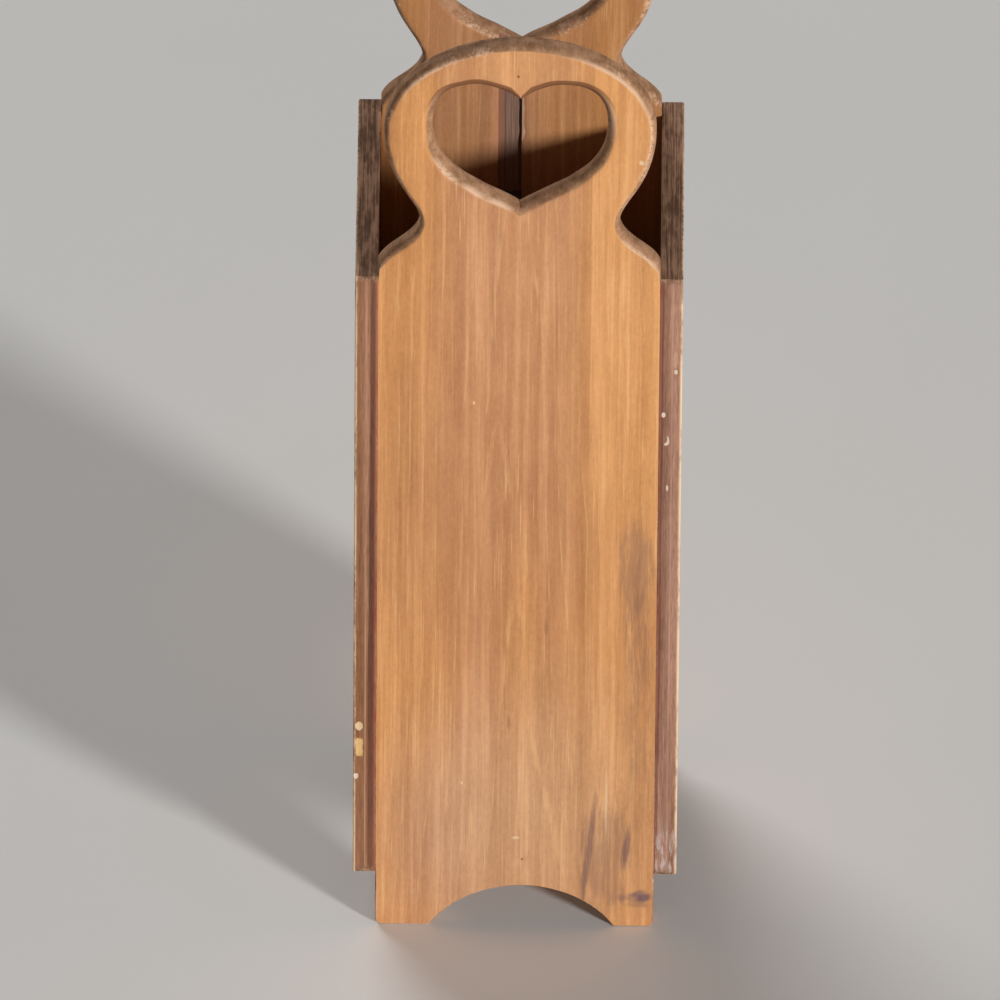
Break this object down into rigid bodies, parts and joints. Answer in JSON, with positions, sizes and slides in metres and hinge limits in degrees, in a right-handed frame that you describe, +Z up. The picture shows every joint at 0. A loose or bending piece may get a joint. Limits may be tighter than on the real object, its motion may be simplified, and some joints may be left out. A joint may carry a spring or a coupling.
{
  "type": "umbrella holder",
  "caption": "Tall wooden box on arched feet that holds umbrellas upright on either side of a divider, with a rounded, heart-pierced head on each end panel to carry it by.",
  "frame": {"origin": "on the ground, under the middle of the box", "axes": "+Z up, +X to the right along the panels' width, the front panel faces -Y"},
  "size_m": [0.23, 0.206, 0.782],
  "materials": {
    "panel_wood": "honey-coloured softwood, rubbed satin finish, worn arrises",
    "side_wood": "dark reddish-brown stained wood, worn arrises",
    "divider_wood": "dark brown stained wood",
    "floor_wood": "bare softwood, dusty",
    "nail_steel": "dull steel wire"
  },
  "bodies": {
    "root": {"front_panel": "panel_wood", "back_panel": "panel_wood", "left_side": "side_wood", "right_side": "side_wood", "divider": "divider_wood", "floor_board": "floor_wood", "left_front_nail_1": "nail_steel", "left_front_nail_2": "nail_steel", "left_front_nail_3": "nail_steel", "left_front_nail_4": "nail_steel", "left_back_nail_1": "nail_steel", "left_back_nail_2": "nail_steel", "left_back_nail_3": "nail_steel", "left_back_nail_4": "nail_steel", "right_front_nail_1": "nail_steel", "right_front_nail_2": "nail_steel", "right_front_nail_3": "nail_steel", "right_front_nail_4": "nail_steel", "right_back_nail_1": "nail_steel", "right_back_nail_2": "nail_steel", "right_back_nail_3": "nail_steel", "right_back_nail_4": "nail_steel", "left_floor_nail_front": "nail_steel", "left_floor_nail_back": "nail_steel", "right_floor_nail_front": "nail_steel", "right_floor_nail_back": "nail_steel", "front_floor_nail": "nail_steel", "back_floor_nail": "nail_steel"}
  },
  "joints": []
}
